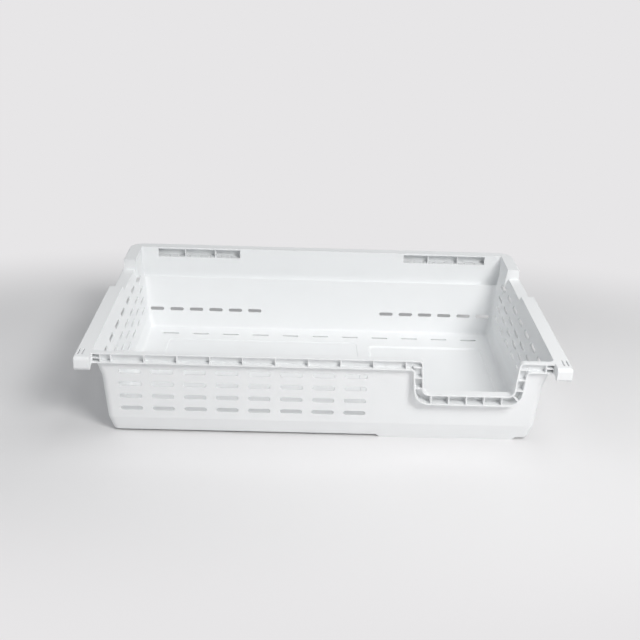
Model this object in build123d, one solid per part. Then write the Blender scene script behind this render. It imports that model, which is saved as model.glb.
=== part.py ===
from build123d import *
import math
import os

# A freezer's pull-out tray, moulded in one piece. X runs across it, Y to its back and Z up, in millimetres.
# The origin is on the surface that it stands on, below the middle of its bounding box.

# Overall sizes
width = 695.0               # over the slide rails
depth = 459.0               # rail noses to the back of the rear rim
rail_top = 138.0            # top of the slide rails and of the front rim
rear_top = 148.0            # top of the rear rim and of the raised rail ends
wall = 2.4                  # walls, floor, flanges and skirts

# Tub, measured outside
tub_length = 378.0          # at the level of the deep floor
tub_setback = 21.5          # behind the face of the front rim, at the same level
draft = 6.5                 # degrees, on the front and back walls
side_gap = 9.5              # rails' inner sides to the side walls, where these begin to flare
side_draft = 3.5            # degrees, below the flare
upper_draft = 7.5           # degrees, above it at the raised rail ends
flare_bottom = 95.0         # height where the side walls begin to flare out to the rails
corner_radius = 10.0
foot_radius = 4.0           # rounding between walls and floor
chamfer_top = 27.0          # height where the front and side walls bend in towards the floor
front_chamfer = 17.0        # degrees from upright
side_chamfer = 14.0

# Floor: a deep zone at the front right and a shallow panel at the left
floor_rise = 3.0            # plain floor above the deep zone
deep_margin = 19.0          # from the foot of the right wall
deep_width = 204.0
deep_back = 340.0           # behind the face of the front rim
panel_margin = 37.0         # from the foot of the left wall
panel_gap = 15.0            # to the deep zone
panel_front = 48.0          # behind the face of the front rim
panel_back = 349.0
panel_step = 1.0
zone_radius = 8.0
zone_slope = 45.0           # degrees, on the steps between floor levels

# Slide rails: hollow, with a high front, a low middle and a raised end
rail_width = 22.0
nose_reach = 17.0           # in front of the rim's face
nose_radius = 5.0
nose_chamfer = 4.0
nose_drop = 4.0             # nose's lower edge, below the rail's
rail_edge_radius = 2.0
step_back = 255.0           # end of the high front, behind the face of the front rim
riser_back = 354.0          # front of the raised end
low_top = 131.0
low_inset = 4.5             # low middle's outside, inwards of the high front's
raised_inset = 6.5          # raised end's outside, likewise
mark_length = 18.0          # two slits in the top of each nose
mark_width = 2.0
mark_pitch = 6.0
mark_inset = 7.5            # middle of the pair, from the rail's outside
mark_back = 4.5             # behind the face of the front rim

# Rear rim: a hollow box, with a gutter between it and the top of the back wall
rear_rim_width = 18.0
rear_skirt = 30.0
rear_corner_radius = 24.0
lip_top = 98.0              # top of the back wall
gutter_slope = 30.0         # degrees, falling towards the rear rim
gutter_radius = 2.0
gutter_reach = 4.5          # past the side walls at both ends
rear_rib_pitch = 53.2
rear_rib_margin = 5.6       # window's outer end to the last rib
rear_rib_count = 6
rib = 1.8                   # thickness of every rib
window_margin = 29.5        # gutter's end to the window into the rear rim
window_length = 145.0
window_bottom = 130.0
window_top = 145.0
drain_diameter = 6.5
drain_pitch = 18.2
drain_count = 7

# Front rim: a ribbed channel, open to the front, which dips round a notch
rim_height = 16.0
rim_reach = 16.0            # from the rim's face back into the tub's wall
rib_pitch = 46.0
rib_margin = 26.75          # rail's inner side to the first rib
ladder_width = 12.0         # last cell at each end, split by a level rib
notch_margin = 118.0        # right rail's inner side to the notch's middle
notch_width = 137.0         # opening at the rim's top
notch_floor = 85.0
notch_slant = 5.0           # degrees, on both legs
notch_radius = 8.0
leg_width = 14.5
sill_height = 17.0
lip_radius = 7.0            # at the top of the legs
bend_radius = 4.0           # where the legs leave the rim
leg_rib_top = 127.0
leg_rib_pitch = 16.5
leg_rib_count = 3
sill_rib_pitch = 25.4
sill_rib_first = 53.5       # left of the notch's middle
sill_rib_count = 5

# Slots, four rows of them in the front and side walls
slot_rows = 4
front_slot = (32.0, 7.0)
front_row_pitch = 20.8
front_row_top = 106.0
side_slot = (30.0, 6.0)
side_row_pitch = 20.0
side_columns = 7
side_pitch = 49.0
side_first = 62.0           # behind the face of the front rim
side_row_top = 112.0
back_slot = (24.0, 6.0)
back_columns = 6
back_pitch = 35.0
back_margin = 19.0          # side wall to the middle of the outermost slot
back_row = 39.0
floor_slot = (29.0, 5.0)
floor_pitch = 53.2
floor_margin = 30.0         # side wall's foot to the middle of the outermost slot, at least
floor_slot_back = 370.0     # behind the face of the front rim

# Places that follow from them
clear = 40.0                # how far a cutter runs past what it cuts
nose_y = -depth / 2
rim_y = nose_y + nose_reach
rear_y = depth / 2
rim_bottom = rail_top - rim_height
rail_outer = width / 2
rail_inner = rail_outer - rail_width
tub_front = rim_y + tub_setback
tub_back = tub_front + tub_length
floor_top = floor_rise + wall
step_y = rim_y + step_back
riser_y = rim_y + riser_back
rear_rim_y = rear_y - rear_rim_width
ring_bottom = rear_top - rear_skirt
notch_x = rail_inner - notch_margin
rib_start = -rail_inner + rib_margin
rib_count = 1 + int((notch_x - notch_width / 2 - leg_width - rib_start) / rib_pitch)


def lean(degrees):
    """Sideways run of a slanted wall for each millimetre of height."""
    return math.tan(math.radians(degrees))


def side_x(z):
    """Half the tub's outside width at a height."""
    flared = max(z - flare_bottom, 0)
    plain = flare_bottom - min(max(z, chamfer_top), flare_bottom)
    cut = max(chamfer_top - z, 0)
    widest = rail_inner - side_gap + lean(upper_draft) * flared
    return widest - lean(side_draft) * plain - lean(side_chamfer) * cut


def front_y(z):
    """The front wall's outside at a height."""
    return tub_front - lean(draft) * max(z, chamfer_top) + lean(front_chamfer) * max(chamfer_top - z, 0)


def back_y(z):
    """The back wall's outside at a height."""
    return tub_back + lean(draft) * z


foot_x = side_x(0)
gutter_x = side_x(lip_top) + gutter_reach
window_outer = gutter_x - window_margin
window_inner = window_outer - window_length
flare_slope = (rail_inner - side_x(flare_bottom) + wall) / (rail_top - flare_bottom)


def prism_y(face, front, back):
    """A face drawn in X and Z, carried from front to back."""
    return extrude(Plane.XZ.offset(-back) * face, back - front)


def prism_x(face, left, right):
    """A face drawn in Y and Z, carried from left to right."""
    return extrude(Plane.YZ.offset(left) * face, right - left)


def block(left, right, front, back, bottom, top):
    """A box between six planes."""
    size = Box(right - left, back - front, top - bottom)
    return Pos((left + right) / 2, (front + back) / 2, (bottom + top) / 2) * size


def both_sides(solid):
    """A solid on the right, and its mirror image on the left."""
    return [solid, mirror(solid, about=Plane.YZ)]


def slot_face(length, height):
    """A slot's outline, each of its ends half an octagon."""
    return chamfer(Rectangle(length, height).vertices(), height * (1 - math.sqrt(0.5)))


def tub_section(z, half_width, inset):
    """The tub's outline at a height, drawn in by an inset."""
    size = (2 * (half_width - inset), back_y(z) - front_y(z) - 2 * inset)
    return Pos(0, (front_y(z) + back_y(z)) / 2, z) * RectangleRounded(*size, corner_radius - inset)


def tub_between(heights, inset):
    """The tub's body through its outlines at some heights."""
    return loft([tub_section(z, side_x(z), inset) for z in heights], ruled=True)


def tub(inset, bottom):
    """The drafted tub with its foot rounded, drawn in by an inset."""
    solid = tub_between([bottom, chamfer_top, flare_bottom, rear_top + clear], inset)
    return fillet(solid.edges().group_by(Axis.Z)[0], foot_radius)


def floor_zone(left, right, front, back, bottom, rise, inset):
    """A shallow zone of the floor with sloping sides, which reaches up past the tub's rounded foot."""
    spread = rise * lean(zone_slope)
    size = (right - left - 2 * inset - 2 * spread, back - front - 2 * inset - 2 * spread)
    outline = Pos((left + right) / 2, (front + back) / 2, bottom) * RectangleRounded(*size, zone_radius)
    return extrude(outline, rise + foot_radius, taper=-zone_slope)


def lower_floor(inset, bottom):
    """The deep zone and the shallow panel, as they stand below the plain floor."""
    deep_right = foot_x - deep_margin
    deep_left = deep_right - deep_width
    deep_y = (tub_front - clear, rim_y + deep_back)
    deep = floor_zone(deep_left, deep_right, *deep_y, bottom, floor_rise, inset)
    deep &= tub_between([bottom, chamfer_top], inset)
    panel_x = (panel_margin - foot_x, deep_left - panel_gap)
    panel_y = (rim_y + panel_front, rim_y + panel_back)
    panel = floor_zone(*panel_x, *panel_y, bottom + floor_rise - panel_step, panel_step, inset)
    return [deep, panel]


def flare(inset, top, back):
    """The tub's upper part with its side walls flared out to the rails, from the front to a place in Y."""
    top_x = side_x(flare_bottom) + flare_slope * (top - flare_bottom)
    sections = [tub_section(flare_bottom, side_x(flare_bottom), inset), tub_section(top, top_x, inset)]
    return loft(sections, ruled=True) - block(-width, width, back, 2 * depth, 0, top + clear)


def gutter_face(offset_out):
    """Section of the space above the back wall, whose floor falls from the wall's lip to the rear rim."""
    lip = back_y(lip_top) - wall
    fall = lean(gutter_slope)
    front = lip - 2 * wall - offset_out
    back = rear_rim_y + offset_out
    level = lip_top - offset_out / math.cos(math.radians(gutter_slope))
    high = rear_top + clear
    points = [(front, level + fall * (lip - front)), (back, level - fall * (back - lip))]
    points += [(back, high), (front, high)]
    outline = make_face(Polyline(*points, close=True))
    return fillet(outline.vertices().sort_by(Axis.Y)[0], gutter_radius + offset_out)


def rail_box(inner, outer, profile, mouth_front, mouth_back):
    """A hollow rail, open below: a profile drawn in Y and Z, carried between its two sides."""
    solid = prism_x(profile, inner, outer)
    long_edges = solid.edges().filter_by(Axis.Y).group_by(Axis.Z)[-1]
    solid = fillet(long_edges.sort_by(Axis.X)[-1], rail_edge_radius)
    solid -= prism_x(offset(profile, -wall), inner + wall, outer - wall)
    return solid - block(inner + wall, outer - wall, mouth_front, mouth_back, -clear, rim_bottom + 2 * wall)


def front_rail():
    """The high front of the right rail, with its rounded nose."""
    nose_bottom = rim_bottom - nose_drop
    points = [(nose_y + nose_chamfer, nose_bottom), (rim_y, rim_bottom), (step_y, rim_bottom)]
    points += [(step_y, rail_top), (nose_y, rail_top), (nose_y, nose_bottom + nose_chamfer)]
    profile = make_face(Polyline(*points, close=True))
    nose = profile.vertices().group_by(Axis.Y)[-1].sort_by(Axis.X)[0]
    profile = fillet(nose, nose_radius)
    solid = rail_box(rail_inner, rail_outer, profile, nose_y + nose_chamfer + wall, step_y - wall)
    for place in (-0.5, 0.5):
        x = rail_outer - mark_inset + place * mark_pitch
        solid -= Pos(x, rim_y + mark_back, rail_top) * Box(mark_width, mark_length, 4 * wall)
    return solid


def low_rail():
    """The low middle of the right rail."""
    inner = rail_inner - (rail_top - low_top) * flare_slope
    size = (riser_y - step_y + 2 * wall, low_top - rim_bottom)
    profile = Pos((riser_y + step_y) / 2, (low_top + rim_bottom) / 2) * Rectangle(*size)
    return rail_box(inner, rail_outer - low_inset, profile, step_y, riser_y)


def runner_groove():
    """The way for a cabinet's runner, through the step and the riser on the underside of the right rail."""
    right = rail_outer - raised_inset - wall
    return block(rail_inner + wall, right, rim_y, riser_y + 2 * wall, -clear, low_top - wall)


def rear_ring(skins):
    """The rear rim and the raised rail ends, hollow and open below, outside the tub's own skin."""
    half = rail_outer - raised_inset
    outline = Pos(0, (riser_y + rear_y) / 2) * Rectangle(2 * half, rear_y - riser_y)
    corners = outline.vertices().group_by(Axis.Y)[-1]
    outline = fillet(corners, rear_corner_radius)
    solid = extrude(Pos(0, 0, ring_bottom) * outline, rear_skirt)
    rounded = solid.edges().group_by(Axis.Z)[-1].filter_by(lambda edge: edge.center().Y > riser_y + wall)
    solid = fillet(rounded, rail_edge_radius)
    hollow = extrude(Pos(0, 0, ring_bottom) * offset(outline, -wall), rear_skirt - wall)
    return solid - (hollow - skins)


def rear_ribs():
    """Upright ribs inside the rear rim, and the drained floors behind its two windows."""
    pieces = []
    last = window_outer + rear_rib_margin
    back = rear_y - wall / 2
    bottom = window_bottom - wall
    for index in range(rear_rib_count):
        x = last - index * rear_rib_pitch
        upright = block(x - rib / 2, x + rib / 2, rear_rim_y, back, bottom, rear_top - wall / 2)
        pieces += both_sides(upright)
    floor = block(last - 3 * rear_rib_pitch, last, rear_rim_y, back, bottom, window_bottom)
    middle = (window_inner + window_outer) / 2
    for index in range(drain_count):
        x = middle + (index - (drain_count - 1) / 2) * drain_pitch
        drain = Pos(x, rear_rim_y + wall + drain_diameter * 0.75) * RegularPolygon(drain_diameter / 2, 8)
        floor -= extrude(drain, rear_top)
    return pieces + both_sides(floor)


def notch_face(grow, floor, radius):
    """The notch's outline in X and Z up to the rim's top, grown sideways, with rounded lower corners."""
    low = notch_width / 2 + grow - lean(notch_slant) * (rail_top - floor)
    high = notch_width / 2 + grow
    points = [(-low, floor), (low, floor), (high, rail_top), (-high, rail_top)]
    outline = make_face(Polyline(*points, close=True))
    return Pos(notch_x, 0) * fillet(outline.vertices().group_by(Axis.Y)[0], radius)


def notch_opening():
    """What the notch takes away, with rounded lips where it opens to the top."""
    above = Pos(notch_x, rail_top + clear / 2) * Rectangle(notch_width + 2 * clear, clear)
    outline = notch_face(0, notch_floor, notch_radius) + above
    lips = []
    for vertex in outline.vertices().group_by(Axis.Y)[-2]:
        if abs(vertex.X - notch_x) < (notch_width + clear) / 2:
            lips.append(vertex)
    return fillet(lips, lip_radius)


def rim_ribs():
    """The channel's ribs in X and Z: along the rim, at its two ends and round the notch."""
    middle = (rim_bottom + rail_top) / 2
    ribs = []
    for index in range(rib_count):
        ribs.append(Pos(rib_start + index * rib_pitch, middle) * Rectangle(rib, rim_height))
    for side in (-1, 1):
        ribs.append(Pos(side * (rail_inner - ladder_width), middle) * Rectangle(rib, rim_height))
        ribs.append(Pos(side * (rail_inner - ladder_width / 2), middle) * Rectangle(ladder_width, rib))
        for index in range(leg_rib_count):
            z = leg_rib_top - index * leg_rib_pitch
            x = notch_x + side * ((notch_width + leg_width) / 2 - lean(notch_slant) * (rail_top - z))
            ribs.append(Pos(x, z) * Rectangle(leg_width, rib))
    for index in range(sill_rib_count):
        x = notch_x - sill_rib_first + index * sill_rib_pitch
        ribs.append(Pos(x, notch_floor - sill_height / 2) * Rectangle(rib, sill_height))
    corner_x = notch_x + notch_width / 2 - lean(notch_slant) * (rail_top - notch_floor)
    corner = Pos(corner_x, notch_floor) * Rot(0, 0, -45)
    ribs.append(corner * Pos(sill_height / 2) * Rectangle(sill_height, rib))
    return ribs


def front_rim(opening):
    """The ribbed channel: its flanges and ribs stand out from the tub's front wall to one upright face."""
    strip = Pos(0, (rim_bottom + rail_top) / 2) * Rectangle(2 * rail_inner + wall, rim_height)
    band = strip + notch_face(leg_width, notch_floor - sill_height, notch_radius + leg_width) - opening
    near = notch_width / 2 + leg_width + bend_radius
    bends = []
    for vertex in band.vertices():
        if abs(vertex.X - notch_x) < near and abs(vertex.Y - rim_bottom) < wall / 10:
            bends.append(vertex)
    band = fillet(bends, bend_radius)
    cells = offset(band, -wall) - rim_ribs()
    return prism_y(band - cells, rim_y, rim_y + rim_reach)


def slots():
    """Cutters for the slots in the walls and the floor."""
    cutters = []
    for row in range(slot_rows):
        for column in range(rib_count - 2):
            x = rib_start + (column + 0.5) * rib_pitch
            face = Pos(x, front_row_top - row * front_row_pitch) * slot_face(*front_slot)
            cutters.append(prism_y(face, rim_y, tub_front + tub_setback))
        for column in range(side_columns):
            y = rim_y + side_first + column * side_pitch
            face = Pos(y, side_row_top - row * side_row_pitch) * slot_face(*side_slot)
            cutters += both_sides(prism_x(face, foot_x - clear / 2, rail_inner))
    for column in range(back_columns):
        x = side_x(back_row) - back_margin - column * back_pitch
        face = Pos(x, back_row) * slot_face(*back_slot)
        cutters += both_sides(prism_y(face, tub_back - clear / 2, tub_back + clear / 2))
    floor_steps = int(2 * (foot_x - floor_margin) / floor_pitch)
    for column in range(floor_steps + 1):
        x = (column - floor_steps / 2) * floor_pitch
        face = Pos(x, rim_y + floor_slot_back, -clear) * slot_face(*floor_slot)
        cutters.append(extrude(face, 2 * clear))
    return cutters


def windows():
    """Cutters for the two windows from the gutter into the rear rim."""
    front = rear_rim_y - wall
    back = rear_rim_y + wall + rib / 10
    return both_sides(block(window_inner, window_outer, front, back, window_bottom, window_top))


def tray():
    """The whole moulding: skins and hollow casings joined, then the spaces inside taken out."""
    tub_skin = tub(0, floor_rise) + lower_floor(0, 0)
    tub_skin -= block(-width, width, -depth, riser_y, rail_top, rear_top + 2 * clear)
    tub_skin -= block(-width, width, -depth, depth, rear_top, rear_top + 2 * clear)
    tub_space = tub(wall, floor_top) + lower_floor(wall, wall)
    gutter_skin = prism_x(gutter_face(wall), -gutter_x - wall, gutter_x + wall)
    gutter_skin -= block(-width, width, -depth, depth, rear_top, rear_top + 2 * clear)
    gutter_space = prism_x(gutter_face(0), -gutter_x, gutter_x)
    flare_skin = flare(0, rail_top, riser_y + wall)
    flare_skin -= block(-width, width, step_y, depth, low_top, rail_top + clear)
    flare_space = flare(wall, rail_top + clear, riser_y)
    opening = notch_opening()

    solid = tub_skin + flare_skin - prism_y(opening, nose_y, tub_front + clear) + gutter_skin
    solid += both_sides(front_rail()) + both_sides(low_rail())
    solid += rear_ring(tub_skin + gutter_skin)
    solid -= both_sides(runner_groove())
    solid += rear_ribs()
    solid += front_rim(opening)
    solid -= [tub_space, gutter_space, flare_space]
    solid -= windows()
    solid -= slots()
    return solid


os.makedirs("parts", exist_ok=True)
export_step(tray(), "parts/freezer_tray.step")
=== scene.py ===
import math

import bpy
from mathutils import Matrix, Vector

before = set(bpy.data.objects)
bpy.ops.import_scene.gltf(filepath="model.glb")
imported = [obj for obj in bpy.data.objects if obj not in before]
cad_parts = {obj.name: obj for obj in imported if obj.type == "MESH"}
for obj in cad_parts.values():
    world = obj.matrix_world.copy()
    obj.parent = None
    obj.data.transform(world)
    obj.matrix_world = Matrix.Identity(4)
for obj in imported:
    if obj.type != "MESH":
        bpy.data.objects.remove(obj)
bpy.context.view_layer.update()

# Lengths are in metres, angles in degrees and lamp powers in watts, unless a line says otherwise

# Camera, as fitted to the photograph's rim, rails, slots and floor
IMAGE_SIZE = 640.0                        # pixels across the photograph
FOCAL_PIXELS = 1000.0
OPTICAL_CENTRE = (327.0, 324.0)           # pixels from the top left
SENSOR_WIDTH = 36.0                       # millimetres
CAMERA_PLACE = (-0.0331, -1.4771, 0.7387)
CAMERA_PITCH = 23.42                      # downwards
CAMERA_YAW = 1.57                         # to the right
CAMERA_ROLL = 2.1
CAMERA_CLIP_START = 0.01

# Floor
FLOOR_SIZE = 40.0
FLOOR_COLOUR = (0.83, 0.825, 0.83)
FLOOR_ROUGHNESS = 0.6
BACKGROUND_COLOUR = (0.80, 0.79, 0.80)    # what is seen of the floor far from the tray
BACKGROUND_NEAR = 0.35                    # in Y from the middle, where the lit floor starts to fade
BACKGROUND_FAR = 0.68                     # in Y from the middle, where only that colour is seen
BACKGROUND_SPREAD = 1.9                   # as many times farther out in X

# Light: each lamp's place, the length of its side, its power and its colour
LAMP_TARGET = (0.0, 0.0, 0.07)
LAMPS = {
    "key": ((1.0, -1.65, 1.6), 0.8, 33.5, (1.0, 0.99, 0.98)),
    "top": ((0.8, -0.1, 2.0), 1.4, 11.0, (1.0, 1.0, 1.0)),
    "fill": ((-1.7, -0.6, 1.6), 1.8, 7.0, (0.97, 0.985, 1.0)),
}
WORLD_COLOUR = (0.96, 0.98, 1.0)
WORLD_STRENGTH = 0.27

# Tray plastic
PLASTIC_COLOUR = (0.895, 0.905, 0.91)
PLASTIC_SHADE = (0.87, 0.884, 0.892)
PLASTIC_IOR = 1.49
FLOW_SCALE = 9.0                          # noise of the tint, waves per metre
FLOW_DETAIL = 3.0
GRAIN_SCALE = 900.0                       # noise of the mould's texture, waves per metre
GRAIN_DETAIL = 2.0
GRAIN_ROUGHNESS = (0.46, 0.58)            # at the grain's low and high points
GRAIN_STRENGTH = 0.12
GRAIN_HEIGHT = 0.0002
EDGE_RADIUS = 0.0008                      # rounding of the mould's edges, in the shading alone
EDGE_SAMPLES = 6


def add_camera():
    """The camera at the photograph's place and angle."""
    pitch = math.radians(CAMERA_PITCH)
    yaw = math.radians(CAMERA_YAW)
    roll = math.radians(CAMERA_ROLL)
    ahead = math.cos(pitch)
    forward = Vector((ahead * math.sin(yaw), ahead * math.cos(yaw), -math.sin(pitch)))
    level = Vector((math.cos(yaw), -math.sin(yaw), 0.0))
    above = level.cross(forward)
    right = math.cos(roll) * level + math.sin(roll) * above
    up = math.cos(roll) * above - math.sin(roll) * level
    turn = Matrix((right, up, -forward)).transposed()
    data = bpy.data.cameras.new("camera")
    data.sensor_fit = "HORIZONTAL"
    data.sensor_width = SENSOR_WIDTH
    data.lens = SENSOR_WIDTH * FOCAL_PIXELS / IMAGE_SIZE
    data.shift_x = (IMAGE_SIZE / 2 - OPTICAL_CENTRE[0]) / IMAGE_SIZE
    data.shift_y = (OPTICAL_CENTRE[1] - IMAGE_SIZE / 2) / IMAGE_SIZE
    data.clip_start = CAMERA_CLIP_START
    camera = bpy.data.objects.new("camera", data)
    camera.matrix_world = Matrix.Translation(CAMERA_PLACE) @ turn.to_4x4()
    bpy.context.collection.objects.link(camera)
    bpy.context.scene.camera = camera


def new_material(name):
    """An empty node material, with its node and link lists."""
    material = bpy.data.materials.new(name)
    material.use_nodes = True
    tree = material.node_tree
    tree.nodes.clear()
    return material, tree.nodes, tree.links


def plastic_material():
    """Cool white satin plastic with the fine texture of its mould."""
    material, nodes, links = new_material("tray_plastic_look")
    output = nodes.new("ShaderNodeOutputMaterial")
    shader = nodes.new("ShaderNodeBsdfPrincipled")
    shader.inputs["IOR"].default_value = PLASTIC_IOR
    links.new(shader.outputs["BSDF"], output.inputs["Surface"])
    place = nodes.new("ShaderNodeTexCoord")

    flow = nodes.new("ShaderNodeTexNoise")
    flow.inputs["Scale"].default_value = FLOW_SCALE
    flow.inputs["Detail"].default_value = FLOW_DETAIL
    links.new(place.outputs["Object"], flow.inputs["Vector"])
    tint = nodes.new("ShaderNodeMix")
    tint.data_type = "RGBA"
    tint.inputs["A"].default_value = (*PLASTIC_COLOUR, 1.0)
    tint.inputs["B"].default_value = (*PLASTIC_SHADE, 1.0)
    links.new(flow.outputs["Fac"], tint.inputs["Factor"])
    links.new(tint.outputs["Result"], shader.inputs["Base Color"])

    grain = nodes.new("ShaderNodeTexNoise")
    grain.inputs["Scale"].default_value = GRAIN_SCALE
    grain.inputs["Detail"].default_value = GRAIN_DETAIL
    links.new(place.outputs["Object"], grain.inputs["Vector"])
    gloss = nodes.new("ShaderNodeMapRange")
    gloss.inputs["To Min"].default_value = GRAIN_ROUGHNESS[0]
    gloss.inputs["To Max"].default_value = GRAIN_ROUGHNESS[1]
    links.new(grain.outputs["Fac"], gloss.inputs["Value"])
    links.new(gloss.outputs["Result"], shader.inputs["Roughness"])

    edge = nodes.new("ShaderNodeBevel")
    edge.samples = EDGE_SAMPLES
    edge.inputs["Radius"].default_value = EDGE_RADIUS
    bump = nodes.new("ShaderNodeBump")
    bump.inputs["Strength"].default_value = GRAIN_STRENGTH
    bump.inputs["Distance"].default_value = GRAIN_HEIGHT
    links.new(grain.outputs["Fac"], bump.inputs["Height"])
    links.new(edge.outputs["Normal"], bump.inputs["Normal"])
    links.new(bump.outputs["Normal"], shader.inputs["Normal"])
    return material


def math_node(nodes, links, operation, first, second):
    """The output of a math node that takes two other outputs."""
    node = nodes.new("ShaderNodeMath")
    node.operation = operation
    links.new(first, node.inputs[0])
    links.new(second, node.inputs[1])
    return node.outputs["Value"]


def floor_material():
    """A pale studio floor that keeps the tray's shadow, and is seen as evenly pale far away."""
    material, nodes, links = new_material("studio_floor")
    output = nodes.new("ShaderNodeOutputMaterial")
    shader = nodes.new("ShaderNodeBsdfPrincipled")
    shader.inputs["Base Color"].default_value = (*FLOOR_COLOUR, 1.0)
    shader.inputs["Roughness"].default_value = FLOOR_ROUGHNESS
    pale = nodes.new("ShaderNodeEmission")
    pale.inputs["Color"].default_value = (*BACKGROUND_COLOUR, 1.0)

    # How far out a point is, from 0 near the tray to 1 far away
    place = nodes.new("ShaderNodeTexCoord")
    squeeze = nodes.new("ShaderNodeVectorMath")
    squeeze.operation = "MULTIPLY"
    squeeze.inputs[1].default_value = (1.0 / BACKGROUND_SPREAD, 1.0, 1.0)
    links.new(place.outputs["Object"], squeeze.inputs[0])
    distance = nodes.new("ShaderNodeVectorMath")
    distance.operation = "LENGTH"
    links.new(squeeze.outputs["Vector"], distance.inputs[0])
    reach = nodes.new("ShaderNodeMapRange")
    reach.interpolation_type = "SMOOTHSTEP"
    reach.inputs["From Min"].default_value = BACKGROUND_NEAR
    reach.inputs["From Max"].default_value = BACKGROUND_FAR
    links.new(distance.outputs["Value"], reach.inputs["Value"])

    # The even colour is seen directly, in reflections and through clear things,
    # and gives no diffuse light
    rays = nodes.new("ShaderNodeLightPath").outputs
    direct = math_node(nodes, links, "MAXIMUM", rays["Is Camera Ray"], rays["Is Glossy Ray"])
    sight = math_node(nodes, links, "MAXIMUM", direct, rays["Is Transmission Ray"])
    seen = math_node(nodes, links, "MULTIPLY", reach.outputs["Result"], sight)
    blend = nodes.new("ShaderNodeMixShader")
    links.new(seen, blend.inputs["Fac"])
    links.new(shader.outputs["BSDF"], blend.inputs[1])
    links.new(pale.outputs["Emission"], blend.inputs[2])
    links.new(blend.outputs["Shader"], output.inputs["Surface"])
    return material


def add_floor():
    """The surface that the tray stands on."""
    mesh = bpy.data.meshes.new("studio_floor")
    half = FLOOR_SIZE / 2
    corners = [(-half, -half, 0.0), (half, -half, 0.0), (half, half, 0.0), (-half, half, 0.0)]
    mesh.from_pydata(corners, [], [(0, 1, 2, 3)])
    floor = bpy.data.objects.new("studio_floor", mesh)
    mesh.materials.append(floor_material())
    bpy.context.collection.objects.link(floor)


def add_lamp(name, place, side, power, colour):
    """A soft square lamp that faces the tray."""
    data = bpy.data.lights.new(name, "AREA")
    data.shape = "SQUARE"
    data.size = side
    data.energy = power
    data.color = colour
    lamp = bpy.data.objects.new(name, data)
    lamp.location = place
    aim = Vector(LAMP_TARGET) - Vector(place)
    lamp.rotation_euler = aim.to_track_quat("-Z", "Y").to_euler()
    bpy.context.collection.objects.link(lamp)


def add_lights():
    """A key from the front right, a large lamp overhead, a weak fill from the left, a dim world."""
    for name, (place, side, power, colour) in LAMPS.items():
        add_lamp(name, place, side, power, colour)
    world = bpy.data.worlds.new("studio_world")
    world.use_nodes = True
    background = world.node_tree.nodes["Background"]
    background.inputs["Color"].default_value = (*WORLD_COLOUR, 1.0)
    background.inputs["Strength"].default_value = WORLD_STRENGTH
    bpy.context.scene.world = world


def finish_tray():
    """Gives the tray's own mesh its plastic."""
    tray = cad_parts["freezer_tray"]
    look = plastic_material()
    for index in range(len(tray.data.materials)):
        tray.data.materials[index] = look


finish_tray()
add_floor()
add_lights()
add_camera()
bpy.context.scene.view_settings.view_transform = "Standard"
